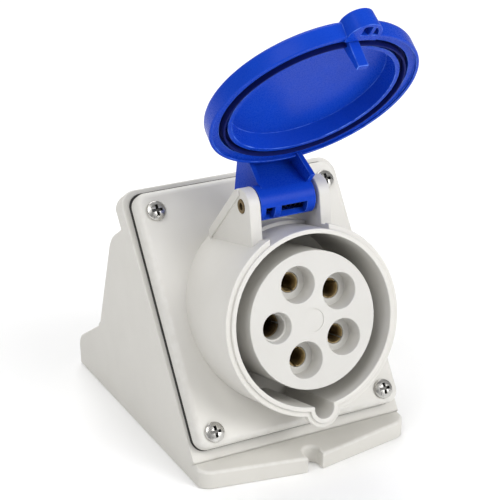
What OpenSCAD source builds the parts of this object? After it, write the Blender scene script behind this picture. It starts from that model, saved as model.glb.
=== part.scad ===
// Surface mount pin and sleeve socket.
// An angled wall housing carries a cover with a tilted five-pole socket and a sprung lid that stands open.
// +Z leaves the wall, +Y runs up the wall towards the cable entry, and the socket looks along -Y.

/* [Housing] */
// Width of the housing on the wall face
base_w = 109; // [100:1:124]
// Length of the wall face, from the tip of the front foot to the end of the rear foot
base_l = 154; // [148:1:180]
// Wall thickness of the housing
wall = 3; // [2.4:0.1:4]
// Lean of each side wall, outwards from the wall face, in degrees
side_draft = 1.2; // [0:0.1:2]
// How far the middle of the front foot stands ahead of its corners
foot_point = 9.5; // [4:0.5:14]
// Height of the front foot at its edge
foot_h = 8; // [6:0.5:9]
// Corner radius of the front foot, seen from above
foot_r = 8; // [3:0.5:12]
// Width of the open screw slot in the front foot
slot_w = 7.6; // [5:0.2:9]
// Length of the screw slot, from the tip of the foot to its round end
slot_l = 9; // [7:0.5:10]
// Length of the rear foot behind the rear wall
rear_foot_l = 30.5; // [22:0.5:36]
// Thickness of the rear foot between its gussets
rear_foot_t = 6; // [4:0.5:9]
// Height of a side gusset at the end of the rear foot
gusset_low = 15.5; // [11:0.5:19]
// Height of a side gusset where it meets the rear wall
gusset_high = 35; // [24:1:42]
// Thickness of a side gusset
gusset_t = 4; // [3:0.5:6]
// Spacing of the two screw holes in the rear foot
rear_hole_pitch = 76; // [50:1:80]
// Diameter of the screw holes in the rear foot
rear_hole_d = 6; // [4:0.5:7]

/* [Panel] */
// Slope of the panel, measured from the wall face, in degrees
panel_slope = 56; // [50:1:60]
// Length of the panel along its slope
panel_l = 130; // [126:1:140]
// Height of the panel's lower edge above the wall face
panel_z = 10; // [9:0.5:14]
// Setback of the panel's lower edge from the tip of the front foot
panel_setback = 16.5; // [15:0.5:24]
// Depth of the thick rim round the panel opening
rim_depth = 9.5; // [8:0.5:12]
// Corner radius at the top of the rim
rim_r = 8; // [4:0.5:12]
// How far the rim stands above the top wall of the box
rim_overhang = 15.5; // [12:0.5:18]
// Depth of the box behind the panel, measured at its top wall
body_depth = 26.5; // [24:0.5:36]
// Radius of the box's top rear shoulder
shoulder_r = 20; // [8:1:24]

/* [Cover] */
// How far the cover's face stands in front of the panel
cover_h = 9; // [7:0.5:12]
// Wall thickness of the cover
cover_t = 3; // [2:0.2:3.6]
// Corner radius of the cover
cover_r = 6; // [4:0.5:9]
// Rim left uncovered beside the cover, at the panel's lower edge
land_side = 1.5; // [1:0.1:3]
// Rim left uncovered below the cover
land_low = 5; // [3:0.5:7]
// Rim left uncovered above the cover
land_high = 3.8; // [2:0.2:6]
// Thickness of the cover gasket
gasket_t = 1.6; // [0.8:0.1:2]

/* [Collar] */
// Place where the socket's axis meets the panel, up from its lower edge
socket_s = 64.4; // [62:0.2:66]
// Tilt of the socket's axis from the panel's normal, in degrees
socket_tilt = 20; // [14:1:22]
// Distance along the axis from the panel to the front of the collar
collar_front = 50.5; // [48:0.5:56]
// Width of the plug space, from the carrier's face to the collar
skirt_room = 7.6; // [6.8:0.1:8.4]
// How far the collar's lip stands out from its bore
lip_out = 4.6; // [4.2:0.1:6]
// Wall thickness of the collar behind its lip
collar_t = 4; // [3:0.1:5]
// Depth of the plug space, from the collar's front to its floor
plug_depth = 46; // [40:1:50]
// Width of the keyway
key_w = 9.6; // [7:0.2:11]
// How far the keyway reaches out from the collar's bore
key_out = 6.2; // [5:0.1:7.5]

/* [Contact carrier] */
// Radius of the carrier's face
face_r = 31.5; // [30:0.1:32.5]
// How far the face stands back from the collar's front
face_back = 2; // [1:0.5:6]
// Radius of the circle that the contacts stand on
contact_circle = 18.1; // [17.5:0.1:19]
// Radius of the counterbore round each line contact
line_entry_r = 8.5; // [6.5:0.1:8.8]
// Radius of the counterbore round the earth contact
earth_entry_r = 7.3; // [6.8:0.1:8.4]
// Depth of the counterbores round the line contacts
line_entry_depth = 8.8; // [6:0.2:10]
// Depth of the counterbore round the earth contact
earth_entry_depth = 4; // [3:0.5:6]
// Thickness of the carrier's flange
flange_t = 5; // [4:0.5:7]

/* [Contacts] */
// Bore radius of the line and neutral sleeves
line_bore_r = 3.1; // [2.6:0.05:3.3]
// Bore radius of the earth sleeve
earth_bore_r = 4.1; // [3.6:0.05:4.3]
// Wall thickness of the sleeves
sleeve_t = 1.4; // [1:0.1:1.6]
// Depth of the sleeve bores
sleeve_depth = 38; // [34:1:42]
// Length of the terminal behind the carrier
terminal_l = 15.5; // [13:0.5:18]
// Radius of the wire hole in a terminal
wire_r = 2.6; // [2:0.1:2.8]

/* [Lid] */
// How far the lid's edge stands out past the collar's lip
lid_over = 3.8; // [3.2:0.1:6]
// How far the seal's groove reaches out from the collar's bore
groove_out = 3.6; // [3:0.1:4.2]
// How far the lid's inner ring stands in from the collar's bore
ring_inset = 2.2; // [2:0.1:4]
// Thickness of the ring inside the lid
lid_ring_t = 2; // [1.6:0.1:2.4]
// Depth of the lid inside its ring
lid_depth = 7.6; // [5:0.2:9]
// Thickness of the lid's top
lid_t = 2.2; // [1.8:0.1:3]
// Length of the tab that drops into the keyway
tab_l = 11; // [8:0.5:14]
// Width of the tab
tab_w = 4.8; // [4:0.2:6]
// Sideways place of the tab
tab_x = 1.1; // [-1.2:0.1:1.2]
// Radius of the lid's nose
nose_r = 8.2; // [7:0.1:11]
// How far the nose stands out past the lid's edge
nose_out = 6.9; // [3:0.1:8]
// Sideways place of the nose
nose_x = 4.4; // [0:0.1:6]
// Angle that the lid stands open, in degrees from closed
lid_open = 125.3; // [90:0.1:135]

/* [Hinge] */
// Height of the hinge axis above the collar's lip
hinge_out = 10.7; // [10.4:0.1:14]
// Distance of the hinge axis in front of the panel, along the socket's axis
hinge_n = 35.7; // [32:0.1:37]
// Sideways place of the hinge's middle
hinge_x = -2.4; // [-3:0.1:0]
// Distance of the ears' outer faces from the hinge's middle
ear_out = 20.4; // [19:0.1:23]
// Thickness of an ear
ear_t = 5.6; // [4.5:0.1:7]
// Radius of an ear round the hinge pin
ear_r = 8; // [6.5:0.1:8.6]
// Radius of the hinge pin
pin_r = 3.2; // [2.5:0.1:3.4]
// Bore radius of the hollow hinge pin
pin_bore_r = 1.6; // [1:0.1:1.8]
// Outer radius of the lid's hinge barrel
barrel_r = 8; // [7:0.1:8.4]
// Sideways place of the arm's left face
arm_left = -13.8; // [-15:0.1:-12]

/* [Fasteners] */
// Sideways distance of the cover screws from the middle
screw_x = 44.7; // [43:0.1:46]
// Height of the lower cover screws above the panel's lower edge
screw_low = 11.8; // [11:0.1:14]
// Distance of the upper cover screws below the panel's top edge
screw_high = 13.6; // [12:0.1:14]
// Head radius of the cover screws
screw_head_r = 4.7; // [4:0.1:5]
// Head height of the cover screws
screw_head_h = 2.6; // [2:0.1:3.5]
// Shank radius of the cover screws
screw_r = 2.4; // [2:0.1:2.6]

/* [Cable entry] */
// Bore radius of the cable grommet
cable_r = 8; // [5:0.5:10]
// Radius of the hole in the rear wall
entry_r = 12; // [11:0.5:14]

/* [Fits] */
// Radial clearance of the lid's barrel on the hinge pin
hinge_play = 0.08; // [0.03:0.01:0.1]
// Clearance between pieces that are only placed together
gap = 0.2; // [0.1:0.05:0.3]
// Clearance between pieces that move past each other
moving_gap = 0.4; // [0.3:0.05:0.8]

/* [Hidden] */
$fn = 96;
part_grey = [0.80, 0.79, 0.76];
dark_rubber = [0.08, 0.08, 0.08];
seal_navy = [0.02, 0.05, 0.22];
lid_blue = [0.03, 0.16, 0.75];
brass = [0.72, 0.55, 0.26];
steel = [0.70, 0.71, 0.72];
over = 1;

// The panel starts behind the front foot, and every panel point is worked out from its lower edge.
front_y = -base_l / 2;
rear_y = base_l / 2;
panel_y = front_y + panel_setback;
socket_slope = panel_slope + socket_tilt;
rear_wall_y = rear_y - rear_foot_l;
box_top_s = panel_l - rim_overhang;
function on_panel(s, h) = [
    panel_y + s * cos(panel_slope) - h * sin(panel_slope),
    panel_z + s * sin(panel_slope) + h * cos(panel_slope)
];
function half_width(z) = base_w / 2 + z * tan(side_draft);
panel_low_half = half_width(panel_z);
panel_high_half = half_width(on_panel(panel_l, 0)[1]);
rear_wall_top = on_panel(box_top_s, -body_depth);

// The cover is a hood on the panel, and its gasket and opening follow its outline.
cover_half = panel_low_half - land_side;
cover_low = land_low;
cover_high = panel_l - land_high;
gasket_side_out = 0.3;
gasket_high_out = 1.2;
gasket_low_out = 0.1;
opening_half = cover_half - cover_t - 1;
opening_low = cover_low + cover_t + 1;
opening_r = 4;
gusset_r = 10;
gusset_foot_r = 10;
rim_low_r = 3;
rim_edge = 0.4;
rim_ledge = 2;
post_r = 5.5;
post_l = 34;
pilot_l = 8;
screw_top_s = panel_l - screw_high;
opening_high = min(box_top_s - wall, screw_top_s - screw_r - wall);
cover_screws = [
    [-screw_x, screw_low],
    [screw_x, screw_low],
    [-screw_x, screw_top_s],
    [screw_x, screw_top_s]
];

// The socket's parts are set out along its own axis, from the panel outwards.
collar_in = face_r + skirt_room;
lip_r = collar_in + lip_out;
key_reach = collar_in + key_out;
hinge_u = lip_r + hinge_out;
lip_step = 1.2;
lip_groove = 0.5;
lip_width = 3.5;
inner_lip_t = 2.2;
inner_lip_r = collar_in + inner_lip_t;
barrel_out = collar_in + collar_t;
plug_floor = collar_front - plug_depth;
ledge_t = 8;
ledge_back = plug_floor - ledge_t;
flange_back = ledge_back - flange_t;
collar_back = flange_back - 0.5;
flange_r = collar_in - gap;
key_r = key_w / 2;
key_wall = 2.4;
key_lip_out = 4.2;
key_u = -(key_reach - key_r);
face_n = collar_front - face_back;
carrier_screw_r = 1.5;
carrier_screw_l = 6.5;
carrier_screw_head_r = 2.8;
carrier_screw_head_h = 2;
carrier_screw_circle = (face_r + collar_in) / 2;
carrier_screw_angles = [30, 150, 270];
back_r = face_r - 2.5;
back_t = 5;
back_rear = flange_back - back_t;
centre_screw_r = 2;
centre_screw_l = 12;
centre_screw_head_r = 3.6;
centre_screw_head_h = 2.6;
mark_r = 5.4;
mark_step = 0.3;

// Five contacts share a circle, with the earth contact a quarter turn from the keyway.
contact_step = 72;
earth_angle = 180;
line_angles = [for (k = [1:4]) earth_angle - k * contact_step];
line_sleeve_r = line_bore_r + sleeve_t;
earth_sleeve_r = earth_bore_r + sleeve_t;
line_sleeve_back = 0.4;
earth_sleeve_back = 6;
line_front = face_n - line_entry_depth - line_sleeve_back;
earth_front = face_n - earth_entry_depth - earth_sleeve_back;
entry_taper = 0.8;
mouth_l = 3.2;
shoulder_t = 2;
shoulder_step = 1.4;
terminal_step = 0.9;
slit_w = 0.8;
slit_l = 18;
wire_depth = 12;
clamp_r = 1.8;
clamp_l = 5;
clamp_head_r = 3;
clamp_head_h = 2;

// The lid is drawn closed on the collar and turned open about the hinge axis.
lid_seat = collar_front + moving_gap;
lid_r = lip_r + lid_over;
lid_rim_in = collar_in + groove_out;
lid_ring_in = collar_in - ring_inset;
lid_edge_h = 6.2;
lid_round = 2.6;
lid_crown = 1;
lid_flat_r = 8;
lid_dome_steps = 4;
ring_set = 0.8;
lid_groove_h = 5.4;
lid_ring_out = lid_ring_in + lid_ring_t;
lid_floor = ring_set + lid_depth;
web_top = 3.4;
seal_proud = moving_gap - 0.1;
seal_base_t = 2;
seal_lip_t = 0.8;
nose_u = -(lid_r + nose_out - nose_r);
nose_draft = 0.6;
nose_wall = 1.7;
nose_web = [6.6, 8.4];
nose_solid_x = 2.6;
cheek_root = 5.3;
rim_step = 1.2;
rim_edge_t = 1.5;
rim_step_r = lid_r - rim_edge_t;
rim_round = 0.6;
tab_out = key_u - sqrt(pow(key_r - moving_gap, 2) - pow(abs(tab_x) + tab_w / 2, 2));
tab_root = 5;
tab_tip = 3.3;
tab_lean = 0.6;
ear_in = ear_out - ear_t;
ear_gap = 1.8;
barrel_left = hinge_x - ear_in + moving_gap;
barrel_right = hinge_x + ear_in - ear_gap;
cheek_t = 2.4;
pin_proud = 0.3;
pin_half = ear_out + pin_proud;
barrel_end_t = 2.4;
spring_room_r = 5.2;
spring_x0 = barrel_left + barrel_end_t;
spring_x1 = barrel_right - barrel_end_t;
spring_wire_r = 0.55;
spring_r = pin_r + spring_wire_r + gap / 4;
spring_turns = 8;
spring_pitch = 2.4;
windows = [[-14.4, -9.9], [-6.7, 6.3]];
window_h = 6.8;
window_low = 5.3;
rib_w = 2.8;
rib_proud = 0.9;

// The cable entry sits in the middle of the leaning rear wall.
rear_wall_run = [rear_wall_top[0] - rear_wall_y, rear_wall_top[1] - gusset_high];
rear_wall_lean = atan2(-rear_wall_run[0], rear_wall_run[1]);
entry_y = (rear_wall_y + rear_wall_top[0]) / 2;
entry_z = (gusset_high + rear_wall_top[1]) / 2;
grommet_flange_r = entry_r + 3;
grommet_flange_t = 2.5;

LINES = ["line_1", "line_2", "line_3", "neutral"];

// Replaces each corner of an outline with an arc of its own radius.
function unit(v) = v / norm(v);
function corner_arc(before, at, after, r, steps) =
    let (
        a = unit(before - at),
        b = unit(after - at),
        half = acos(a * b) / 2,
        reach = r / tan(half),
        centre = at + unit(a + b) * r / sin(half),
        from = at + a * reach - centre,
        to = at + b * reach - centre,
        start = atan2(from[1], from[0]),
        turn = atan2(from[0] * to[1] - from[1] * to[0], from * to)
    )
    [for (k = [0:steps]) centre + r * [cos(start + turn * k / steps), sin(start + turn * k / steps)]];
function rounded(points, radii, steps = 8) =
    let (n = len(points))
    [for (k = [0:n - 1])
        each (radii[k] == 0
            ? [points[k]]
            : corner_arc(points[(k + n - 1) % n], points[k], points[(k + 1) % n], radii[k], steps))];

// Moves children from the panel's own frame, and from the socket's own frame, to the part's frame.
module on_panel_frame() {
    translate([0, panel_y, panel_z])
        rotate([panel_slope, 0, 0])
            children();
}

module on_socket_frame() {
    on_panel_frame()
        translate([0, socket_s, 0])
            rotate([socket_tilt, 0, 0])
                children();
}

// Extrudes a side view, drawn as [y, z], from one x to another.
module side_view(x0, x1) {
    translate([x0, 0, 0])
        rotate([90, 0, 90])
            linear_extrude(x1 - x0)
                children();
}

// A rectangle with round corners, from its corner points.
module round_rect(x0, y0, x1, y1, r) {
    translate([x0 + r, y0])
        square([x1 - x0 - 2 * r, y1 - y0]);
    translate([x0, y0 + r])
        square([x1 - x0, y1 - y0 - 2 * r]);
    for (x = [x0 + r, x1 - r])
        for (y = [y0 + r, y1 - r])
            translate([x, y])
                circle(r);
}

// Everything between the two leaning side walls, drawn in by an inset.
module between_sides(inset) {
    reach = 2 * base_l;
    intersection_for (side = [-1, 1])
        translate([side * (base_w / 2 - inset), 0, 0])
            rotate([0, side * side_draft, 0])
                translate([side > 0 ? -reach : 0, -reach / 2, -reach / 2])
                    cube([reach, reach, reach]);
}

// The housing: side view of the box, the front foot's plan, the rim, the cavity and the holes.
module box_outline() {
    polygon(rounded(
        [
            [front_y - over, 0],
            [rear_y, 0],
            [rear_y, gusset_low],
            [rear_wall_y, gusset_high],
            rear_wall_top,
            on_panel(box_top_s, -rim_depth / 2),
            on_panel(rim_depth, -rim_depth / 2),
            on_panel(0, -rim_edge),
            [front_y - over, foot_h]
        ],
        [0, 0, gusset_r, gusset_foot_r, shoulder_r, 0, 0, 0, 0]
    ));
}

module foot_plan() {
    corner_half = half_width(foot_h);
    corner_y = front_y + foot_point;
    side_room = 6;
    polygon(rounded(
        [
            [0, front_y],
            [corner_half, corner_y],
            [corner_half + side_room, panel_y + panel_l / 2],
            [corner_half + side_room, rear_y + over],
            [-corner_half - side_room, rear_y + over],
            [-corner_half - side_room, panel_y + panel_l / 2],
            [-corner_half, corner_y]
        ],
        [0, foot_r, 0, 0, 0, 0, foot_r]
    ));
}

module rim() {
    on_panel_frame()
        translate([0, 0, -rim_depth])
            linear_extrude(rim_depth) {
                round_rect(-panel_high_half, panel_l / 2, panel_high_half, panel_l, rim_r);
                round_rect(-panel_high_half, 0, panel_high_half, panel_l * 3 / 4, rim_low_r);
            }
}

module housing_outside() {
    intersection() {
        between_sides(0);
        union() {
            intersection() {
                side_view(-base_w, base_w)
                    box_outline();
                linear_extrude(2 * panel_l)
                    foot_plan();
            }
            rim();
        }
    }
}

module cavity() {
    floor_front = on_panel(opening_low - rim_ledge, -rim_depth);
    rear_in = wall / cos(rear_wall_lean);
    rear_low = [rear_wall_y - rear_in, gusset_high];
    roof = on_panel(box_top_s - wall, 0);
    inward = roof - on_panel(box_top_s - wall, 1);
    rear_top = roof + inward * cross(rear_low - roof, rear_wall_run) / cross(inward, rear_wall_run);
    intersection() {
        between_sides(wall);
        side_view(-base_w, base_w)
            polygon([
                [floor_front[0] + wall, wall],
                [rear_low[0], wall],
                rear_low,
                rear_top,
                on_panel(box_top_s - wall, -rim_depth),
                floor_front
            ]);
    }
    on_panel_frame()
        translate([0, 0, -rim_depth - over])
            linear_extrude(rim_depth + 2 * over)
                round_rect(-opening_half, opening_low, opening_half, opening_high, opening_r);
}

module cover_posts() {
    on_panel_frame()
        for (x = [-screw_x, screw_x])
            translate([x, screw_low, -post_l])
                cylinder(r = post_r, h = post_l);
}

module housing() {
    slot_end = front_y + slot_l - slot_w / 2;
    color(part_grey)
        difference() {
            housing_outside();
            difference() {
                cavity();
                cover_posts();
            }
            on_panel_frame()
                for (place = cover_screws)
                    translate([place[0], place[1], -pilot_l])
                        cylinder(r = screw_r + gap / 2, h = pilot_l + over);
            translate([0, 0, -over]) {
                translate([0, slot_end, 0])
                    cylinder(d = slot_w, h = 2 * panel_z);
                translate([-slot_w / 2, slot_end - base_l, 0])
                    cube([slot_w, base_l, 2 * panel_z]);
                for (x = [-rear_hole_pitch / 2, rear_hole_pitch / 2])
                    translate([x, rear_y - rear_foot_l / 2, 0])
                        cylinder(d = rear_hole_d, h = rear_foot_t + 2 * over);
            }
            translate([gusset_t - base_w / 2, rear_wall_y, rear_foot_t])
                cube([base_w - 2 * gusset_t, rear_foot_l + over, gusset_high]);
            translate([0, entry_y, entry_z])
                rotate([rear_wall_lean - 90, 0, 0])
                    cylinder(r = entry_r, h = 4 * wall, center = true);
        }
}

module cover_gasket() {
    color(dark_rubber)
        on_panel_frame()
            linear_extrude(gasket_t)
                difference() {
                    round_rect(
                        -cover_half - gasket_side_out, cover_low - gasket_low_out,
                        cover_half + gasket_side_out, cover_high + gasket_high_out,
                        cover_r + gasket_side_out
                    );
                    round_rect(
                        cover_t - cover_half, cover_low + cover_t,
                        cover_half - cover_t, cover_high - cover_t, cover_r - cover_t
                    );
                }
}

// The cover: a hood with screw bosses, the collar with its lips and keyway, and the hinge ears.
module hood_outside() {
    on_panel_frame()
        translate([0, 0, gasket_t])
            linear_extrude(cover_h - gasket_t)
                round_rect(-cover_half, cover_low, cover_half, cover_high, cover_r);
}

module hood_inside() {
    on_panel_frame()
        difference() {
            translate([0, 0, gasket_t - over])
                linear_extrude(cover_h - gasket_t - cover_t + over)
                    round_rect(
                        cover_t - cover_half, cover_low + cover_t,
                        cover_half - cover_t, cover_high - cover_t, cover_r - cover_t
                    );
            for (place = cover_screws)
                translate([place[0], place[1], -over])
                    cylinder(r = post_r, h = cover_h + over);
        }
}

module collar_outside() {
    on_socket_frame() {
        translate([0, 0, collar_back])
            cylinder(r = barrel_out, h = collar_front - lip_step - lip_width / 2 - collar_back);
        translate([0, 0, collar_front - lip_step - lip_width])
            cylinder(r = lip_r, h = lip_width);
        translate([0, 0, collar_front - lip_step - lip_width])
            cylinder(r = inner_lip_r, h = lip_width + lip_step);
        translate([0, key_u, collar_back])
            cylinder(r = key_r + key_wall, h = collar_front - lip_step - collar_back);
        translate([0, key_u, collar_front - lip_step - lip_width]) {
            cylinder(r = key_r + key_lip_out, h = lip_width);
            cylinder(r = key_r + inner_lip_t, h = lip_width + lip_step);
        }
    }
}

module ear_outline() {
    rear_u = 40;
    rear_n = -1;
    front_n = hinge_n + ear_r - 2.5;
    low_u = collar_in + 0.5;
    reach = norm([hinge_u - rear_u, hinge_n - rear_n]);
    lean = atan2(hinge_u - rear_u, hinge_n - rear_n) + asin(ear_r / reach);
    translate([hinge_u, hinge_n])
        circle(ear_r);
    polygon([
        [low_u - 12, rear_n],
        [rear_u, rear_n],
        [hinge_u + ear_r * cos(lean), hinge_n - ear_r * sin(lean)],
        [hinge_u, hinge_n],
        [hinge_u, hinge_n + ear_r],
        [low_u - 12, front_n]
    ]);
}

module ear_rib_outline() {
    intersection() {
        ear_outline();
        difference() {
            square([hinge_u + ear_r, hinge_n]);
            translate([-rib_w, rib_w])
                ear_outline();
        }
    }
}

module ears() {
    on_socket_frame()
        translate([hinge_x, 0, 0]) {
            side_view(ear_in, ear_out)
                ear_outline();
            side_view(-ear_out, -ear_in)
                ear_outline();
            side_view(ear_out - rib_proud, ear_out + rib_proud)
                ear_rib_outline();
            side_view(-ear_out - rib_proud, rib_proud - ear_out)
                ear_rib_outline();
        }
}

module plug_space() {
    on_socket_frame() {
        difference() {
            translate([0, 0, collar_back - terminal_l])
                cylinder(r = collar_in, h = collar_front + over - collar_back + terminal_l);
            translate([0, 0, ledge_back])
                cylinder(r = collar_in + over, h = ledge_t);
        }
        translate([0, 0, collar_back])
            cylinder(r = face_r + gap, h = plug_depth);
        translate([0, key_u, plug_floor])
            cylinder(r = key_r, h = plug_depth + over);
        translate([-key_r, key_u, plug_floor])
            cube([key_w, collar_in - face_r, plug_depth + over]);
        difference() {
            translate([0, 0, collar_front - lip_step])
                cylinder(r = inner_lip_r + lip_groove, h = lip_step + over);
            translate([0, 0, collar_front - 2 * lip_step]) {
                cylinder(r = inner_lip_r, h = 3 * lip_step);
                translate([0, key_u, 0])
                    cylinder(r = key_r + inner_lip_t, h = 3 * lip_step);
            }
        }
    }
}

// Room between the ears for the lid's cheeks, cut from the collar's lip.
module cheek_room() {
    on_socket_frame()
        intersection() {
            difference() {
                translate([0, 0, hinge_n - ear_r])
                    cylinder(r = lip_r + ear_r, h = collar_front);
                translate([0, 0, hinge_n - ear_r - over])
                    cylinder(r = inner_lip_r, h = 2 * collar_front);
            }
            translate([hinge_x - ear_in, 0, 0])
                cube([2 * ear_in, hinge_u, 2 * collar_front]);
        }
}

module carrier_screw_places() {
    on_socket_frame()
        for (angle = carrier_screw_angles)
            rotate(angle)
                translate([carrier_screw_circle, 0, 0])
                    children();
}

module cover() {
    color(part_grey)
        difference() {
            union() {
                difference() {
                    hood_outside();
                    hood_inside();
                }
                collar_outside();
                ears();
            }
            plug_space();
            cheek_room();
            on_panel_frame()
                for (place = cover_screws)
                    translate([place[0], place[1], -over])
                        cylinder(r = screw_r + 2 * gap, h = cover_h + 2 * over);
            carrier_screw_places()
                translate([0, 0, ledge_back - over])
                    cylinder(r = carrier_screw_r + gap / 2, h = ledge_t - wall / 2);
            on_socket_frame()
                translate([-base_w / 2, hinge_u, hinge_n])
                    rotate([0, 90, 0])
                        cylinder(r = pin_r, h = base_w);
        }
}

// The contact carrier and the plate that traps the contacts in it.
module contact_places(angles) {
    for (angle = angles)
        rotate(angle)
            translate([contact_circle, 0, 0])
                children();
}

module contact_hole(sleeve_r, entry_radius, entry_depth) {
    translate([0, 0, flange_back - over])
        cylinder(r = sleeve_r + gap, h = face_n - flange_back + 2 * over);
    translate([0, 0, face_n - entry_depth])
        cylinder(r1 = entry_radius - entry_taper, r2 = entry_radius, h = entry_depth + over);
    translate([0, 0, flange_back - over])
        cylinder(r = sleeve_r + shoulder_step + gap, h = shoulder_t + over);
}

module contact_carrier() {
    color(part_grey)
        on_socket_frame()
            difference() {
                union() {
                    translate([0, 0, ledge_back - over])
                        cylinder(r = face_r, h = face_n - ledge_back + over);
                    translate([0, 0, flange_back])
                        cylinder(r = flange_r, h = flange_t);
                }
                contact_places(line_angles)
                    contact_hole(line_sleeve_r, line_entry_r, line_entry_depth);
                contact_places([earth_angle])
                    contact_hole(earth_sleeve_r, earth_entry_r, earth_entry_depth);
                translate([0, 0, face_n - mark_step])
                    cylinder(r = mark_r, h = mark_step + over);
                translate([0, 0, flange_back - over])
                    cylinder(r = centre_screw_r + gap / 2, h = centre_screw_l + over);
                for (angle = carrier_screw_angles)
                    rotate(angle)
                        translate([carrier_screw_circle, 0, flange_back - over])
                            cylinder(r = carrier_screw_r + gap, h = flange_t + 2 * over);
            }
}

module carrier_back() {
    color(part_grey)
        on_socket_frame()
            translate([0, 0, back_rear])
                difference() {
                    cylinder(r = back_r, h = back_t);
                    translate([0, 0, -over]) {
                        contact_places(line_angles)
                            cylinder(r = line_sleeve_r + terminal_step + gap, h = back_t + 2 * over);
                        contact_places([earth_angle])
                            cylinder(r = earth_sleeve_r + terminal_step + gap, h = back_t + 2 * over);
                        cylinder(r = centre_screw_r + gap, h = back_t + 2 * over);
                    }
                }
}

// A cross-recessed pan-head screw that stands on z = 0 with its shank below.
module pan_screw(head_r, head_h, shank_r, shank_l) {
    recess_w = head_r * 0.3;
    recess_l = head_r * 1.15;
    recess_floor = head_h / 4;
    color(steel)
        difference() {
            union() {
                translate([0, 0, -shank_l])
                    cylinder(r = shank_r, h = shank_l + over / 2);
                intersection() {
                    cylinder(r = head_r, h = head_h);
                    translate([0, 0, head_h - head_r * 2])
                        sphere(head_r * 2);
                }
            }
            for (turn = [0, 90])
                rotate(turn)
                    translate([-recess_l / 2, -recess_w / 2, recess_floor])
                        cube([recess_l, recess_w, head_h]);
        }
}

module cover_screw(k) {
    place = cover_screws[k - 1];
    on_panel_frame()
        translate([place[0], place[1], cover_h])
            pan_screw(screw_head_r, screw_head_h, screw_r, cover_h + pilot_l - over);
}

module carrier_screw(k) {
    on_socket_frame()
        rotate(carrier_screw_angles[k - 1])
            translate([carrier_screw_circle, 0, flange_back])
                mirror([0, 0, 1])
                    pan_screw(carrier_screw_head_r, carrier_screw_head_h, carrier_screw_r,
                        flange_t + carrier_screw_l - over);
}

module carrier_back_screw() {
    on_socket_frame()
        translate([0, 0, back_rear])
            mirror([0, 0, 1])
                pan_screw(centre_screw_head_r, centre_screw_head_h, centre_screw_r,
                    back_t + centre_screw_l - over);
}

// A turned contact sleeve with its lead-in, slits, trapped shoulder and screw terminal.
module sleeve(angle, sleeve_r, bore_r, front) {
    terminal_r = sleeve_r + terminal_step;
    terminal_end = back_rear - terminal_l;
    color(brass)
        on_socket_frame()
            rotate(angle)
                translate([contact_circle, 0, 0])
                    difference() {
                        union() {
                            translate([0, 0, flange_back])
                                cylinder(r = sleeve_r, h = front - flange_back);
                            translate([0, 0, flange_back])
                                cylinder(r = sleeve_r + shoulder_step, h = shoulder_t - gap);
                            translate([0, 0, terminal_end])
                                cylinder(r = terminal_r, h = flange_back - terminal_end);
                        }
                        translate([0, 0, front - sleeve_depth])
                            cylinder(r = bore_r, h = sleeve_depth + over);
                        translate([0, 0, front - mouth_l])
                            cylinder(r1 = bore_r - gap, r2 = sleeve_r, h = mouth_l + over);
                        translate([-sleeve_r - over, -slit_w / 2, front - slit_l])
                            cube([2 * (sleeve_r + over), slit_w, slit_l + over]);
                        translate([0, 0, terminal_end - over])
                            cylinder(r = wire_r, h = wire_depth + over);
                        translate([0, 0, terminal_end + wire_depth / 2])
                            rotate([0, 90, 0])
                                cylinder(r = clamp_r + gap / 2, h = terminal_r + over);
                    }
}

module clamp_screw(angle, sleeve_r) {
    terminal_r = sleeve_r + terminal_step;
    on_socket_frame()
        rotate(angle)
            translate([contact_circle + terminal_r, 0, back_rear - terminal_l + wire_depth / 2])
                rotate([0, 90, 0])
                    pan_screw(clamp_head_r, clamp_head_h, clamp_r, min(clamp_l, terminal_r - wire_r));
}

// The lid is drawn closed, with z leaving its rim plane, and then turned open about the hinge.
module turned_open() {
    on_socket_frame()
        translate([0, hinge_u, hinge_n])
            rotate([-lid_open, 0, 0])
                translate([0, -hinge_u, lid_seat - hinge_n])
                    children();
}

// Points of a shallow dome from its flat middle to its edge.
function dome(edge_r, edge_z) =
    [for (k = [0:lid_dome_steps])
        let (r = lid_flat_r + (edge_r - lid_flat_r) * k / lid_dome_steps)
        [r, edge_z + lid_crown * (1 - pow(r / edge_r, 2))]];

module lid_section() {
    top = lid_floor + lid_t;
    floor_dome = dome(lid_ring_in - 1, lid_floor);
    top_dome = dome(lid_ring_in, top);
    polygon(concat(
        [[0, floor_dome[0][1]]],
        floor_dome,
        [
            [lid_ring_in, ring_set],
            [lid_ring_out, ring_set],
            [lid_ring_out, lid_groove_h],
            [lid_rim_in, lid_groove_h],
            [lid_rim_in, rim_step],
            [rim_step_r, rim_step],
            [rim_step_r, 0]
        ],
        [for (a = [-90:30:0]) [lid_r + rim_round * (cos(a) - 1), rim_round * (sin(a) + 1)]],
        [for (a = [0:15:60])
            [lid_r - lid_round + lid_round * cos(a), lid_edge_h + lid_round * sin(a)]],
        [for (k = [lid_dome_steps:-1:0]) top_dome[k]],
        [[0, top_dome[0][1]]]
    ));
}

module nose() {
    top = lid_edge_h + lid_round;
    difference() {
        translate([nose_x, nose_u, 0])
            cylinder(r1 = nose_r, r2 = nose_r - nose_draft, h = top);
        translate([0, 0, -over])
            cylinder(r = lid_rim_in + over, h = top + 2 * over);
    }
}

module nose_pockets() {
    translate([0, 0, -over])
        linear_extrude(lid_groove_h + over)
            difference() {
                translate([nose_x, nose_u])
                    circle(nose_r - nose_wall);
                circle(lid_r - gap);
                translate([nose_web[0], -2 * lid_r])
                    square([nose_web[1] - nose_web[0], 2 * lid_r]);
                translate([nose_solid_x - lid_r, -2 * lid_r])
                    square([lid_r, 2 * lid_r]);
            }
}

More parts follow.
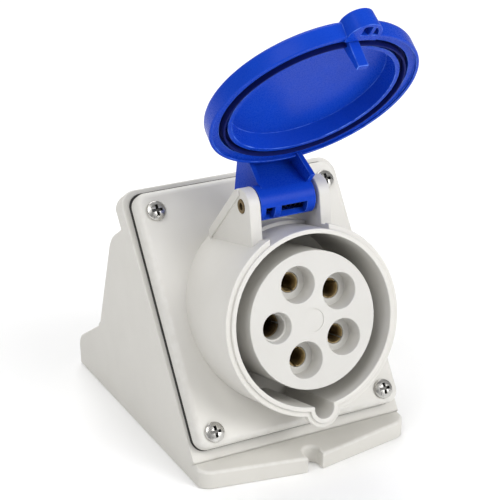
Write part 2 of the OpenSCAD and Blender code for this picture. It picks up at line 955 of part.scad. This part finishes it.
module keyway_tab() {
    side_view(tab_x - tab_w / 2, tab_x + tab_w / 2)
        polygon([
            [tab_out, lid_groove_h + over],
            [tab_out, 0],
            [tab_out + tab_lean, -tab_l],
            [tab_out + tab_tip, -tab_l],
            [tab_out + tab_root, 0],
            [tab_out + tab_root, lid_groove_h + over]
        ]);
}

// The arm from the lid to its barrel: a roof, a web with a thumb lever, and two cheeks.
module arm_points_frame() {
    translate([0, 0, -lid_seat])
        children();
}

// The arm's face meets the barrel as a tangent, at an angle found from the face's top edge.
module arm_web_outline() {
    top = lid_seat + lid_floor + lid_t;
    face_top = [-1.7, lid_seat + 1.1 - hinge_n];
    meet = atan2(face_top[1], face_top[0]) + acos(barrel_r / norm(face_top));
    polygon(rounded(
        [
            [lid_r - 5, top - 0.6],
            [hinge_u + 3, top - 0.2],
            [hinge_u + 18, hinge_n + 16.6],
            [hinge_u + 15.2, hinge_n + 12.6],
            [hinge_u + barrel_r, hinge_n + 4],
            [hinge_u + barrel_r, hinge_n],
            [hinge_u, hinge_n],
            [hinge_u + barrel_r * cos(meet), hinge_n + barrel_r * sin(meet)],
            [hinge_u + face_top[0], hinge_n + face_top[1]],
            [hinge_u + face_top[0], lid_seat + web_top],
            [lid_r - 5, lid_seat + web_top]
        ],
        [0, 3, 1.2, 2, 3, 0, 0, 0, 0.6, 0, 0]
    ));
}

// The hollow in the back of the arm, open behind the thumb lever.
module arm_hollow_outline() {
    polygon([
        [hinge_u - 0.6, hinge_n + barrel_r + 1],
        [hinge_u + 1.2, lid_seat + web_top],
        [hinge_u + 2.4, lid_seat + lid_edge_h],
        [hinge_u + 13.2, hinge_n + 15],
        [hinge_u + 18, hinge_n + 8],
        [hinge_u + 10, hinge_n + 2.4],
        [hinge_u + 4, hinge_n + barrel_r]
    ]);
}

module left_cheek_outline() {
    polygon([
        [hinge_u - 5.6, lid_seat + web_top],
        [hinge_u - 5.4, hinge_n + 6.8],
        [hinge_u, hinge_n],
        [hinge_u + 5, hinge_n + 6],
        [hinge_u + 9, hinge_n + 12],
        [hinge_u + 7, lid_seat + lid_edge_h],
        [hinge_u - 6, lid_seat + lid_edge_h]
    ]);
}

module right_cheek_outline() {
    polygon([
        [collar_in + cheek_root, lid_seat + 1],
        [inner_lip_r - 0.4, hinge_n + 2.2],
        [hinge_u - barrel_r + 0.4, hinge_n + 2.2],
        [hinge_u, hinge_n],
        [hinge_u + 5, hinge_n + 6],
        [hinge_u + 9, hinge_n + 12],
        [hinge_u + 7, lid_seat + lid_edge_h],
        [lid_r - 4, lid_seat + lid_edge_h]
    ]);
}

module arm() {
    arm_points_frame() {
        difference() {
            side_view(arm_left, barrel_right)
                arm_web_outline();
            side_view(arm_left + cheek_t, barrel_right - cheek_t)
                arm_hollow_outline();
        }
        side_view(barrel_right - cheek_t, barrel_right)
            right_cheek_outline();
        side_view(arm_left, arm_left + cheek_t)
            left_cheek_outline();
        translate([barrel_left, hinge_u, hinge_n])
            rotate([0, 90, 0])
                cylinder(r = barrel_r, h = barrel_right - barrel_left);
    }
}

module barrel_room() {
    arm_points_frame() {
        translate([barrel_left - over, hinge_u, hinge_n])
            rotate([0, 90, 0])
                cylinder(r = pin_r + hinge_play, h = barrel_right - barrel_left + 2 * over);
        translate([spring_x0, hinge_u, hinge_n])
            rotate([0, 90, 0])
                cylinder(r = spring_room_r, h = spring_x1 - spring_x0);
        for (window = windows)
            translate([window[0], hinge_u - window_low, hinge_n - barrel_r - over])
                cube([window[1] - window[0], window_h, barrel_r + over]);
    }
}

module lid() {
    color(lid_blue)
        turned_open()
            difference() {
                union() {
                    rotate_extrude()
                        lid_section();
                    nose();
                    keyway_tab();
                    arm();
                }
                barrel_room();
                nose_pockets();
            }
}

// The seal has a flat base and a thin lip, and stops short of the tab on both sides.
module lid_seal() {
    middle = (lid_ring_out + lid_rim_in) / 2;
    half = (lid_rim_in - lid_ring_out - gap) / 2;
    color(seal_navy)
        turned_open()
            difference() {
                rotate_extrude()
                    polygon([
                        [middle - half, lid_groove_h],
                        [middle - half, lid_groove_h - seal_base_t],
                        [middle - seal_lip_t / 2, lid_groove_h - seal_base_t],
                        [middle - seal_lip_t / 2, -seal_proud],
                        [middle + seal_lip_t / 2, -seal_proud],
                        [middle + seal_lip_t / 2, lid_groove_h - seal_base_t],
                        [middle + half, lid_groove_h - seal_base_t],
                        [middle + half, lid_groove_h]
                    ]);
                translate([tab_x - tab_w / 2 - gap, -lid_r, -over])
                    cube([tab_w + 2 * gap, lid_r, lid_groove_h + 2 * over]);
            }
}

module hinge_pin() {
    color(brass)
        on_socket_frame()
            translate([hinge_x - pin_half, hinge_u, hinge_n])
                rotate([0, 90, 0])
                    difference() {
                        cylinder(r = pin_r, h = 2 * pin_half);
                        translate([0, 0, -over])
                            cylinder(r = pin_bore_r, h = 2 * (pin_half + over));
                    }
}

// The spring is one round wire swept along a helix about the hinge pin.
module hinge_spring() {
    sides = 8;
    per_turn = 20;
    rings = spring_turns * per_turn;
    function ring(k) =
        let (turn = 360 * k / per_turn, along = spring_pitch * (k / per_turn - spring_turns / 2))
        [for (j = [0:sides - 1])
            let (a = 360 * j / sides, r = spring_r + spring_wire_r * cos(a))
            [along + spring_wire_r * sin(a), r * cos(turn), r * sin(turn)]];
    points = [for (k = [0:rings]) each ring(k)];
    walls = [for (k = [0:rings - 1]) for (j = [0:sides - 1])
        let (a = k * sides + j, b = k * sides + (j + 1) % sides)
        [a, b, b + sides, a + sides]];
    ends = [
        [for (j = [sides - 1:-1:0]) j],
        [for (j = [0:sides - 1]) rings * sides + j]
    ];
    color(steel)
        on_socket_frame()
            translate([(spring_x0 + spring_x1) / 2, hinge_u, hinge_n])
                polyhedron(points, concat(walls, ends));
}

module cable_grommet() {
    groove = wall + gap;
    color(dark_rubber)
        translate([0, entry_y, entry_z])
            rotate([rear_wall_lean - 90, 0, 0])
                rotate_extrude()
                    polygon([
                        [cable_r, -groove - grommet_flange_t],
                        [grommet_flange_r, -groove - grommet_flange_t],
                        [grommet_flange_r, -groove],
                        [entry_r - gap, -groove],
                        [entry_r - gap, 0],
                        [grommet_flange_r, 0],
                        [grommet_flange_r, grommet_flange_t],
                        [cable_r + 2, 2 * grommet_flange_t],
                        [cable_r, 2 * grommet_flange_t]
                    ]);
}

housing();
cover_gasket();
cover();
contact_carrier();
carrier_back();
carrier_back_screw();
for (k = [1:3])
    carrier_screw(k);
for (k = [0:3]) {
    sleeve(line_angles[k], line_sleeve_r, line_bore_r, line_front);
    clamp_screw(line_angles[k], line_sleeve_r);
}
sleeve(earth_angle, earth_sleeve_r, earth_bore_r, earth_front);  // earth_sleeve
clamp_screw(earth_angle, earth_sleeve_r);  // earth_clamp_screw
for (k = [1:4])
    cover_screw(k);
lid();
lid_seal();
hinge_pin();
hinge_spring();
cable_grommet();
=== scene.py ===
import math
import bmesh
import bpy
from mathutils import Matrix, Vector


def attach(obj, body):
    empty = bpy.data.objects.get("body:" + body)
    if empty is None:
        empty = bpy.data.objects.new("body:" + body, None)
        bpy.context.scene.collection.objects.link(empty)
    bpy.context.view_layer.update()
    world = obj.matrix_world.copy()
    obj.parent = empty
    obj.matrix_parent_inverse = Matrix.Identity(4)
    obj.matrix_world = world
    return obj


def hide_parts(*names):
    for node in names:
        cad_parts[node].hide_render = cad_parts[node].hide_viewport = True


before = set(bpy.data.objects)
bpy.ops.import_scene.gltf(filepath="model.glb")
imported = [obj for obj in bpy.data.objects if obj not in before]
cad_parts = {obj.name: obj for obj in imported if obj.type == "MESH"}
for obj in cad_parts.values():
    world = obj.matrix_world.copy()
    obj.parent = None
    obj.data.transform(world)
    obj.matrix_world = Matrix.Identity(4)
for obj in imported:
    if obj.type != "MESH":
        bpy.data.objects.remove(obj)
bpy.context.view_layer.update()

MM = 0.001
MERGE_GAP = 0.002 * MM
FLAT_LIMIT = math.radians(0.5)
CORNER_LIMIT = math.radians(35)
CREASE_LIMIT = math.radians(50)


def rounded_copy(name, node, rounds, body, material, crease_highlight=0.0):
    """Copies a CAD node into a piece and rounds its corners, by rules of radius, segments and which edges.

    The rounded edges carry edge_round, 1 on outer corners and the crease value in inner ones, for the lighter
    edge tone: rubbed wear, and on the lid painted highlight lines.
    """
    shell = bmesh.new()
    shell.from_mesh(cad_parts[node].data)
    bmesh.ops.remove_doubles(shell, verts=shell.verts, dist=MERGE_GAP)
    bmesh.ops.dissolve_limit(shell, angle_limit=FLAT_LIMIT, use_dissolve_boundaries=False,
                             verts=shell.verts, edges=shell.edges, delimit=set())
    wear_and_sheen = shell.loops.layers.float.new("edge_round")
    done = shell.faces.layers.int.new("rounded")
    for radius, segments, wanted in rounds:
        corners = [e for e in shell.edges
                   if len(e.link_faces) == 2 and e.calc_face_angle() > CORNER_LIMIT
                   and not any(f[done] for f in e.link_faces) and wanted(e)]
        outer = all(e.is_convex for e in corners)
        made = bmesh.ops.bevel(shell, geom=corners, offset=radius, offset_type="OFFSET", segments=segments,
                               profile=0.5, affect="EDGES", material=-1, clamp_overlap=False)
        soft = set(made["faces"])
        for face in soft:
            face[done] = 1
            for loop in face.loops:
                rim = any(f not in soft for f in loop.vert.link_faces)
                # Outer rounded corners get 1, for rubbed wear and, on the lid, painted highlight lines; inner
                # creases get the crease value, a painted highlight line in the lid's dish.
                loop[wear_and_sheen] = 0.0 if rim else 1.0 if outer else crease_highlight
    for face in shell.faces:
        face.smooth = True
    for e in shell.edges:
        if len(e.link_faces) == 2 and e.calc_face_angle() > CREASE_LIMIT:
            e.smooth = False
    mesh = bpy.data.meshes.new(name)
    shell.to_mesh(mesh)
    shell.free()
    piece = bpy.data.objects.new(name, mesh)
    bpy.context.scene.collection.objects.link(piece)
    piece.data.materials.append(material)
    weigh = piece.modifiers.new("flat faces stay flat", "WEIGHTED_NORMAL")
    weigh.keep_sharp = True
    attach(piece, body)
    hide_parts(node)
    return piece


def outer_edge(edge):
    return edge.is_convex


def shader_group(name, inputs, outputs):
    group = bpy.data.node_groups.new(name, "ShaderNodeTree")
    for label, default in inputs:
        socket = group.interface.new_socket(label, in_out="INPUT", socket_type="NodeSocketFloat")
        socket.default_value = default
    for label in outputs:
        group.interface.new_socket(label, in_out="OUTPUT", socket_type="NodeSocketFloat")
    return group, group.nodes.new("NodeGroupInput"), group.nodes.new("NodeGroupOutput")


def noise(tree, where, scale, detail, rough=0.5):
    node = tree.nodes.new("ShaderNodeTexNoise")
    node.inputs["Detail"].default_value = detail
    node.inputs["Roughness"].default_value = rough
    if isinstance(scale, (int, float)):
        node.inputs["Scale"].default_value = scale
    else:
        tree.links.new(scale, node.inputs["Scale"])
    tree.links.new(where, node.inputs["Vector"])
    return node.outputs["Fac"]


def spread(tree, value, low, high, to_low=0.0, to_high=1.0):
    node = tree.nodes.new("ShaderNodeMapRange")
    tree.links.new(value, node.inputs["Value"])
    for label, number in (("From Min", low), ("From Max", high), ("To Min", to_low), ("To Max", to_high)):
        node.inputs[label].default_value = number
    return node.outputs["Result"]


def combine(tree, how, first, second):
    node = tree.nodes.new("ShaderNodeMath")
    node.operation = how
    for socket, value in ((node.inputs[0], first), (node.inputs[1], second)):
        if isinstance(value, (int, float)):
            socket.default_value = value
        else:
            tree.links.new(value, socket)
    return node.outputs["Value"]


WEAR_AND_SHEEN_SCALE = 260.0
moulded_skin, skin_in, skin_out = shader_group(
    "moulded skin", [("Grain Scale", 1500.0), ("Mottle Scale", 45.0)], ["Mottle", "Gloss", "Height", "Edge"])
skin_place = moulded_skin.nodes.new("ShaderNodeTexCoord").outputs["Object"]
fine_grain = noise(moulded_skin, skin_place, skin_in.outputs["Grain Scale"], 3.0, 0.6)
mottle = noise(moulded_skin, skin_place, skin_in.outputs["Mottle Scale"], 4.0, 0.55)
edge_value = moulded_skin.nodes.new("ShaderNodeAttribute")
edge_value.attribute_name = "edge_round"
patchy_wear_and_sheen = spread(moulded_skin, noise(moulded_skin, skin_place, WEAR_AND_SHEEN_SCALE, 3.0), 0.35, 0.7)
moulded_skin.links.new(spread(moulded_skin, mottle, 0.3, 0.7), skin_out.inputs["Mottle"])
moulded_skin.links.new(spread(moulded_skin, fine_grain, 0.25, 0.75), skin_out.inputs["Gloss"])
moulded_skin.links.new(fine_grain, skin_out.inputs["Height"])
moulded_skin.links.new(combine(moulded_skin, "MULTIPLY", edge_value.outputs["Fac"], patchy_wear_and_sheen),
                       skin_out.inputs["Edge"])


def blend_colour(tree, factor, first, second):
    node = tree.nodes.new("ShaderNodeMix")
    node.data_type = "RGBA"
    tree.links.new(factor, node.inputs["Factor"])
    for socket, value in ((node.inputs["A"], first), (node.inputs["B"], second)):
        if isinstance(value, tuple):
            socket.default_value = (*value, 1.0)
        else:
            tree.links.new(value, socket)
    return node.outputs["Result"]


RUB_SHINE = 0.12
GRAIN_STRENGTH = 0.5


def moulded_plastic(name, pale, deep, wear_and_sheen, gloss, grain, grain_height, specular=0.5, wear_and_sheen_mix=0.6):
    """A moulded plastic: two near tones, a lighter tone on the rounded edges (rubbed wear; on the lid, painted
    highlight lines), gloss (smooth, rough).
    """
    material = bpy.data.materials.new(name)
    material.use_nodes = True
    tree = material.node_tree
    shader = tree.nodes["Principled BSDF"]
    skin = tree.nodes.new("ShaderNodeGroup")
    skin.node_tree = moulded_skin
    skin.inputs["Grain Scale"].default_value = grain
    tone = blend_colour(tree, skin.outputs["Mottle"], pale, deep)
    edge = spread(tree, skin.outputs["Edge"], 0.0, 1.0, 0.0, wear_and_sheen_mix)
    tree.links.new(blend_colour(tree, edge, tone, wear_and_sheen), shader.inputs["Base Color"])
    rough = spread(tree, skin.outputs["Gloss"], 0.0, 1.0, *gloss)
    tree.links.new(combine(tree, "SUBTRACT", rough, combine(tree, "MULTIPLY", edge, RUB_SHINE)),
                   shader.inputs["Roughness"])
    bump = tree.nodes.new("ShaderNodeBump")
    bump.inputs["Strength"].default_value = GRAIN_STRENGTH
    bump.inputs["Distance"].default_value = grain_height
    tree.links.new(skin.outputs["Height"], bump.inputs["Height"])
    tree.links.new(bump.outputs["Normal"], shader.inputs["Normal"])
    shader.inputs["Specular IOR Level"].default_value = specular
    return material


FOOT_BACK_Y = -60.0 * MM
FOOT_LOW_Z = 5.0 * MM
FOOT_CREASE = (-60.3 * MM, 9.9 * MM)
REAR_CREASE = (46.5 * MM, 35.6 * MM)
CREASE_REACH = 1.5 * MM


def foot_top_edge(edge):
    return edge.is_convex and all(v.co.y < FOOT_BACK_Y and v.co.z > FOOT_LOW_Z for v in edge.verts)


def near_crease(edge):
    return any(all(math.hypot(v.co.y - y, v.co.z - z) < CREASE_REACH for v in edge.verts)
               for y, z in (FOOT_CREASE, REAR_CREASE))


def housing_corner(edge):
    return edge.is_convex and not near_crease(edge)


def housing_fillet(edge):
    return not edge.is_convex and not near_crease(edge)


housing_plastic = moulded_plastic("housing grey nylon", (0.640, 0.625, 0.585), (0.615, 0.600, 0.560),
                                  (0.70, 0.69, 0.66), (0.42, 0.55), 1500.0, 0.03 * MM)
rounded_copy("housing_moulding", "housing",
             [(1.5 * MM, 5, foot_top_edge), (0.9 * MM, 4, housing_corner), (0.8 * MM, 3, housing_fillet)],
             "socket", housing_plastic)

# Cable grommet: a stepped black rubber bush that the supply cable is pushed through.
# It is moulded soft and snaps into the round hole in the rear wall of the housing.
RUBBER_GRAIN = 900.0
RUBBER_MOTTLE = 160.0
RUBBER_GLOSS = (0.6, 0.85)
RUBBER_STRENGTH = 0.4
RUBBER_GRAIN_HEIGHT = 0.04 * MM


def soft_rubber(name, pale, deep, specular=0.35):
    material = bpy.data.materials.new(name)
    material.use_nodes = True
    tree = material.node_tree
    shader = tree.nodes["Principled BSDF"]
    skin = tree.nodes.new("ShaderNodeGroup")
    skin.node_tree = moulded_skin
    skin.inputs["Grain Scale"].default_value = RUBBER_GRAIN
    skin.inputs["Mottle Scale"].default_value = RUBBER_MOTTLE
    tree.links.new(blend_colour(tree, skin.outputs["Mottle"], deep, pale), shader.inputs["Base Color"])
    tree.links.new(spread(tree, skin.outputs["Gloss"], 0.0, 1.0, *RUBBER_GLOSS), shader.inputs["Roughness"])
    bump = tree.nodes.new("ShaderNodeBump")
    bump.inputs["Strength"].default_value = RUBBER_STRENGTH
    bump.inputs["Distance"].default_value = RUBBER_GRAIN_HEIGHT
    tree.links.new(skin.outputs["Height"], bump.inputs["Height"])
    tree.links.new(bump.outputs["Normal"], shader.inputs["Normal"])
    shader.inputs["Specular IOR Level"].default_value = specular
    return material


black_rubber = soft_rubber("black rubber", (0.035, 0.034, 0.032), (0.018, 0.018, 0.018))
rounded_copy("cable_grommet_bush", "cable_grommet", [(0.4 * MM, 3, outer_edge)], "socket",
             black_rubber)

# Contact carrier: a round pale grey block of flame-proof polyamide with five stepped holes and a flange.
# It stands up inside the collar with the contacts trapped in it by a back plate of the same plastic.
PANEL_SLOPE = math.radians(56)
PANEL_FOOT = Vector((0.0, -60.5 * MM, 10.0 * MM))
PANEL_UP = Vector((0.0, math.cos(PANEL_SLOPE), math.sin(PANEL_SLOPE)))
PANEL_OUT = Vector((0.0, -math.sin(PANEL_SLOPE), math.cos(PANEL_SLOPE)))
SOCKET_TILT = math.radians(76)
SOCKET_OUT = Vector((0.0, -math.sin(SOCKET_TILT), math.cos(SOCKET_TILT)))
SOCKET_FOOT = PANEL_FOOT + PANEL_UP * 64.4 * MM
GATE_MARK_CLEAR = 1.2 * 5.4 * MM


def carrier_corner(edge):
    def off_axis(point):
        reach = point - SOCKET_FOOT
        return (reach - SOCKET_OUT * reach.dot(SOCKET_OUT)).length
    return edge.is_convex and all(off_axis(v.co) > GATE_MARK_CLEAR for v in edge.verts)


carrier_plastic = moulded_plastic("carrier grey polyamide", (0.600, 0.590, 0.560), (0.578, 0.567, 0.537),
                                  (0.67, 0.66, 0.63), (0.40, 0.52), 1900.0, 0.02 * MM)
rounded_copy("contact_carrier_block", "contact_carrier", [(0.4 * MM, 3, carrier_corner)], "socket",
             carrier_plastic)
rounded_copy("carrier_back_plate", "carrier_back", [(0.4 * MM, 2, outer_edge)], "socket",
             carrier_plastic)

# Contact sleeves: five turned brass tubes, the earth one wider, each with a terminal at its back end.
# They are cut from bar, so the skin carries fine rings from the lathe, dulled and brown inside the bore. The
# earth sleeve's darker brass is painted shade of its deeper hole.
RING_STRETCH = (0.04, 0.04, 1.0)
RING_STRENGTH = 0.35
RECESS_SHADE_FULL = 0.8


def metal_skin(name):
    group, inside, outside = shader_group(
        name, [("Ring Scale", 2600.0), ("Stain Scale", 300.0)], ["Stain", "Rings", "Height"])
    place = group.nodes.new("ShaderNodeTexCoord")
    turn = group.nodes.new("ShaderNodeMapping")
    turn.inputs["Rotation"].default_value = (-SOCKET_TILT, 0.0, 0.0)
    group.links.new(place.outputs["Object"], turn.inputs["Vector"])
    stretch = group.nodes.new("ShaderNodeMapping")
    stretch.inputs["Scale"].default_value = RING_STRETCH
    group.links.new(turn.outputs["Vector"], stretch.inputs["Vector"])
    rings = noise(group, stretch.outputs["Vector"], inside.outputs["Ring Scale"], 2.0)
    stain = noise(group, place.outputs["Object"], inside.outputs["Stain Scale"], 4.0, 0.6)
    group.links.new(spread(group, stain, 0.35, 0.68), outside.inputs["Stain"])
    group.links.new(spread(group, rings, 0.3, 0.7), outside.inputs["Rings"])
    group.links.new(rings, outside.inputs["Height"])
    return group


turned_metal = metal_skin("turned metal skin")


def bare_metal(name, bright, dull, gloss, ring_height, recess_shade=None):
    material = bpy.data.materials.new(name)
    material.use_nodes = True
    tree = material.node_tree
    shader = tree.nodes["Principled BSDF"]
    skin = tree.nodes.new("ShaderNodeGroup")
    skin.node_tree = turned_metal
    tone = blend_colour(tree, skin.outputs["Stain"], bright, dull)
    # A dark tone laid over the recess mask: painted shade in the recess.
    if recess_shade:
        depth = tree.nodes.new("ShaderNodeAttribute")
        depth.attribute_name = "recess_depth"
        tone = blend_colour(tree, spread(tree, depth.outputs["Fac"], 0.0, RECESS_SHADE_FULL), tone, recess_shade)
    tree.links.new(tone, shader.inputs["Base Color"])
    tree.links.new(spread(tree, skin.outputs["Rings"], 0.0, 1.0, *gloss), shader.inputs["Roughness"])
    bump = tree.nodes.new("ShaderNodeBump")
    bump.inputs["Strength"].default_value = RING_STRENGTH
    bump.inputs["Distance"].default_value = ring_height
    tree.links.new(skin.outputs["Height"], bump.inputs["Height"])
    tree.links.new(bump.outputs["Normal"], shader.inputs["Normal"])
    shader.inputs["Metallic"].default_value = 1.0
    return material


turned_brass = bare_metal("turned brass", (0.50, 0.385, 0.21), (0.35, 0.27, 0.145), (0.42, 0.58), 0.02 * MM)
# The darker brass is painted shade on the earth sleeve, whose hole is deeper; the hinge pin uses it as its own
# duller brass.
dull_and_shaded_brass = bare_metal("dull and shaded brass", (0.26, 0.19, 0.10), (0.15, 0.11, 0.06), (0.45, 0.6), 0.02 * MM)
CONTACTS = ("line_1", "line_2", "line_3", "neutral", "earth")
for wire in CONTACTS:
    rounded_copy(wire + "_contact_sleeve", wire + "_sleeve", [(0.25 * MM, 2, outer_edge)], "socket",
                 dull_and_shaded_brass if wire == "earth" else turned_brass)

# Small inside screws: zinc plated steel, one clamping each wire, three holding the carrier to its ledge
# and one closing the back plate. They are cold headed and rolled, so only the plating shows.
zinc_plate = bare_metal("zinc plated steel", (0.60, 0.59, 0.57), (0.42, 0.41, 0.40), (0.22, 0.40), 0.01 * MM)
inside_screws = ["carrier_screw_1", "carrier_screw_2", "carrier_screw_3", "carrier_back_screw"]
inside_screws += [wire + "_clamp_screw" for wire in CONTACTS]
for screw in inside_screws:
    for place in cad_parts[screw].material_slots:
        place.material = zinc_plate

# Cover gasket: a black rubber frame die-cut from sheet, pinched between the housing rim and the cover.
# Only its dark outer edge shows, as a line round the cover.
rounded_copy("cover_gasket_frame", "cover_gasket", [(0.15 * MM, 2, outer_edge)], "socket",
             black_rubber)

# Cover: the grey moulding that closes the housing, one piece with the tilted collar, its two lips, the
# keyway and the hinge ears. It is moulded from the same nylon, slightly paler and smoother than the housing.
cover_plastic = moulded_plastic("cover grey nylon", (0.650, 0.636, 0.598), (0.628, 0.613, 0.574),
                                (0.71, 0.70, 0.67), (0.38, 0.50), 1700.0, 0.022 * MM)
HOOD_FACE = 9.0 * MM
FACE_SLACK = 0.02 * MM
HOOD_SIDE_AREA = 6.0 * MM * MM


def on_hood_face(edge):
    return all(abs((v.co - PANEL_FOOT).dot(PANEL_OUT) - HOOD_FACE) < FACE_SLACK for v in edge.verts)


def hood_outline(edge):
    walls = [f for f in edge.link_faces if abs(f.normal.dot(PANEL_OUT)) < 0.1]
    return on_hood_face(edge) and edge.is_convex and len(walls) == 1 and walls[0].calc_area() > HOOD_SIDE_AREA


rounded_copy("cover_moulding", "cover", [(3.2 * MM, 7, hood_outline), (0.5 * MM, 3, outer_edge)], "socket",
             cover_plastic)

# Cover screws: four zinc plated pan heads with a cross recess, driven through the cover into the housing.
# The heads are cold formed, so the recess has soft edges and the dome is smooth.
SCREW_HEAD_R = 4.7 * MM
SCREW_HEAD_H = 2.6 * MM
HEAD_RIM_R = 0.95 * SCREW_HEAD_R
RECESS_R = 0.75 * SCREW_HEAD_R
RECESS_TOP = 0.5 * SCREW_HEAD_H
SCREW_X = 44.7 * MM
SCREW_ROWS = (11.8 * MM, 116.4 * MM)


def off_screw_axis(point):
    up = (point - PANEL_FOOT).dot(PANEL_UP)
    return math.hypot(abs(point.x) - SCREW_X, min(abs(up - row) for row in SCREW_ROWS))


def head_rim(edge):
    return edge.is_convex and all(off_screw_axis(v.co) > HEAD_RIM_R for v in edge.verts)


# The cross recess is painted dark, fading in over its walls: painted shade.
screw_steel = bare_metal("cover screw steel", (0.68, 0.67, 0.64), (0.46, 0.45, 0.43), (0.20, 0.36), 0.01 * MM,
                         recess_shade=(0.045, 0.044, 0.042))
for number in (1, 2, 3, 4):
    screw = rounded_copy("cover_screw_steel_%d" % number, "cover_screw_%d" % number, [(0.45 * MM, 4, head_rim)],
                         "socket", screw_steel)
    depth = screw.data.attributes.new("recess_depth", "FLOAT", "POINT")
    for vertex, mark in zip(screw.data.vertices, depth.data):
        lift = (vertex.co - PANEL_FOOT).dot(PANEL_OUT) - HOOD_FACE
        sunk = off_screw_axis(vertex.co) < RECESS_R and lift < RECESS_TOP
        mark.value = 1.0 if sunk else 0.0

# Lid: one satin blue moulding, a shallow dish with a rim, an inner ring, a finger nose, a keyway tab and
# an arm that ends in the hinge barrel. It swings on the pin and shuts over the collar.
# The lighter blue on the lid's rounded edges is painted highlight lines, and the crease value paints a
# highlight line in the dish's inner creases.
lid_plastic = moulded_plastic("lid blue polyamide", (0.006, 0.052, 0.48), (0.005, 0.045, 0.43),
                              (0.13, 0.27, 0.85), (0.22, 0.34), 1800.0, 0.006 * MM, 0.07, 0.9)
HINGE_Y = -45.967 * MM
HINGE_Z = 124.811 * MM
ARM_REACH = 27.0 * MM


def on_arm(edge):
    return all(math.hypot(v.co.y - HINGE_Y, v.co.z - HINGE_Z) < ARM_REACH for v in edge.verts)


def dish_corner(edge):
    return edge.is_convex and not on_arm(edge)


def arm_corner(edge):
    return edge.is_convex and on_arm(edge)


def dish_fillet(edge):
    return not edge.is_convex and not on_arm(edge)


# The inner creases of the dish get a painted highlight line.
rounded_copy("lid_moulding", "lid",
             [(0.35 * MM, 3, dish_corner), (0.2 * MM, 3, arm_corner), (0.25 * MM, 3, dish_fillet)],
             "lid", lid_plastic, crease_highlight=0.7)

# Lid seal: a dark rubber ring pressed into the groove between the rim and the inner ring of the lid.
# It meets the lip of the collar when the lid is shut.
# The seal's near black navy is painted shade: it stands in for the shaded blue plastic deep in the groove.
groove_shade_rubber = soft_rubber("groove shade rubber", (0.0015, 0.008, 0.110), (0.001, 0.005, 0.080), 0.12)
rounded_copy("lid_seal_ring", "lid_seal", [(0.2 * MM, 3, outer_edge)], "lid", groove_shade_rubber)

# Hinge pin: a hollow brass rivet pressed through both ears, on which the lid turns.
# Its ends are turned flat and show as a small brass ring on the outside of the ears.
rounded_copy("hinge_pin_rivet", "hinge_pin", [(0.25 * MM, 2, outer_edge)], "socket", dull_and_shaded_brass)

# Hinge spring: a coil of spring steel wire round the pin, inside the barrel of the lid.
# It shows only through the two windows of the barrel.
oiled_steel = bare_metal("oiled spring steel", (0.10, 0.10, 0.105), (0.05, 0.05, 0.05), (0.30, 0.45), 0.01 * MM)
rounded_copy("hinge_spring_coil", "hinge_spring", [], "socket", oiled_steel)

# Studio: a plain white floor that runs out of view, with soft light from four big panels: high at the left,
# at the right front, above the front and above the back.
AIR_STRENGTH = 0.336
FLOOR_HALF = 6.0
FLOOR_WHITE = 0.93
FLOOR_GLOW_FROM = (0.1, 0.02)
FLOOR_GLOW_TO = (0.45, 0.22)
world = bpy.data.worlds.new("studio air")
bpy.context.scene.world = world
world.use_nodes = True
world.node_tree.nodes["Background"].inputs["Color"].default_value = (1.0, 1.0, 1.0, 1.0)
world.node_tree.nodes["Background"].inputs["Strength"].default_value = AIR_STRENGTH

ground = bmesh.new()
bmesh.ops.create_grid(ground, x_segments=8, y_segments=8, size=FLOOR_HALF)
floor_mesh = bpy.data.meshes.new("studio_floor")
ground.to_mesh(floor_mesh)
ground.free()
floor = bpy.data.objects.new("studio_floor", floor_mesh)
bpy.context.scene.collection.objects.link(floor)
paper = bpy.data.materials.new("white paper")
paper.use_nodes = True
paper_shader = paper.node_tree.nodes["Principled BSDF"]
paper_shader.inputs["Base Color"].default_value = (FLOOR_WHITE, FLOOR_WHITE, FLOOR_WHITE, 1.0)
paper_shader.inputs["Roughness"].default_value = 0.9
paper_shader.inputs["Emission Color"].default_value = (1.0, 1.0, 1.0, 1.0)
paper_place = paper.node_tree.nodes.new("ShaderNodeTexCoord").outputs["Object"]
far = paper.node_tree.nodes.new("ShaderNodeVectorMath")
far.operation = "LENGTH"
paper.node_tree.links.new(paper_place, far.inputs[0])
glow = spread(paper.node_tree, far.outputs["Value"], FLOOR_GLOW_FROM[0], FLOOR_GLOW_TO[0],
              FLOOR_GLOW_FROM[1], FLOOR_GLOW_TO[1])
paper.node_tree.links.new(glow, paper_shader.inputs["Emission Strength"])
floor_mesh.materials.append(paper)


def light_panel(name, place, aim, size, power):
    lamp = bpy.data.lights.new(name, "AREA")
    lamp.shape = "RECTANGLE"
    lamp.size, lamp.size_y = size
    lamp.energy = power
    panel = bpy.data.objects.new(name, lamp)
    panel.location = place
    panel.rotation_euler = (Vector(aim) - Vector(place)).to_track_quat("-Z", "Y").to_euler()
    bpy.context.scene.collection.objects.link(panel)


object_middle = (0.0, -0.02, 0.09)
light_panel("left_top_panel", (-0.9, -0.5, 1.3), object_middle, (0.9, 0.9), 10.4)
light_panel("right_front_panel", (0.75, -1.2, 0.7), object_middle, (0.8, 0.8), 9.9)
light_panel("front_top_panel", (0.35, -1.1, 1.0), object_middle, (0.6, 0.6), 3.9)
light_panel("back_top_panel", (0.1, 0.7, 1.2), object_middle, (1.0, 1.0), 8.9)

# Camera: a long lens on a level head, above and to the left of the object.
LOOKS_DOWN = math.radians(22.93)
TURNED_RIGHT = math.radians(27.67)
camera_data = bpy.data.cameras.new("photo_camera")
camera_data.sensor_width = 36.0
camera_data.lens = 112.77
camera = bpy.data.objects.new("photo_camera", camera_data)
camera.location = (-0.3176, -0.6166, 0.3757)
camera.rotation_euler = (math.radians(90.0) - LOOKS_DOWN, 0.0, -TURNED_RIGHT)
bpy.context.scene.collection.objects.link(camera)
bpy.context.scene.camera = camera
bpy.context.scene.view_settings.view_transform = "Standard"
